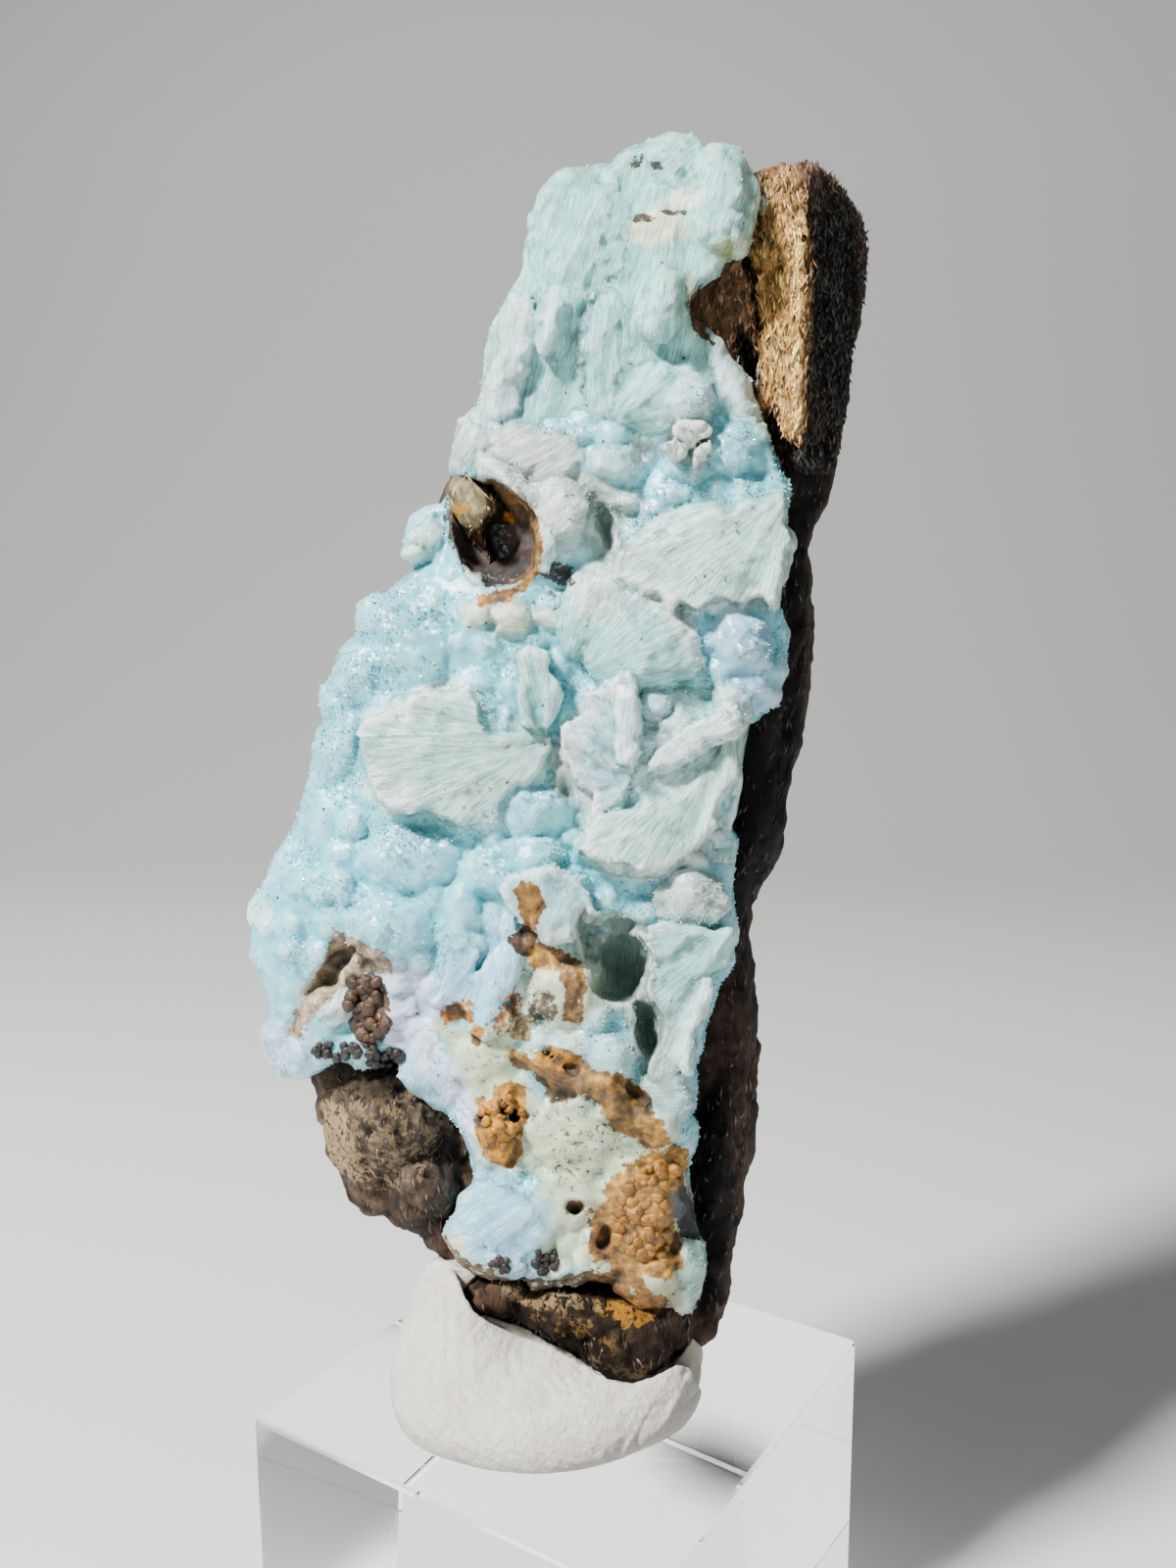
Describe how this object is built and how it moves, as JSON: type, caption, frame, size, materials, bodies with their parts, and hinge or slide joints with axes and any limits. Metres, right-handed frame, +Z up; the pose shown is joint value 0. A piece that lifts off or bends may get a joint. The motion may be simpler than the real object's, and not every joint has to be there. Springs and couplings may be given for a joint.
{
  "type": "hemimorphite mineral specimen on stand",
  "caption": "Pale blue hemimorphite crust of round lumps, fans and shells on brown limonite, standing upright in a wad of putty on a clear acrylic cube",
  "frame": {"origin": "the middle of the acrylic cube's underside", "axes": "+Z is up, along the standing specimen; -Y faces the viewer, as the crust does; the cube is turned 32.5 degrees about Z"},
  "size_m": [0.0695, 0.0686, 0.1859],
  "materials": {
    "limonite": "matte",
    "hemimorphite": "satin",
    "putty": "matte",
    "acrylic": "gloss"
  },
  "bodies": {
    "root": {"limonite_matrix": "limonite", "hemimorphite_crust": "hemimorphite", "putty": "putty", "acrylic_block": "acrylic"}
  },
  "joints": []
}
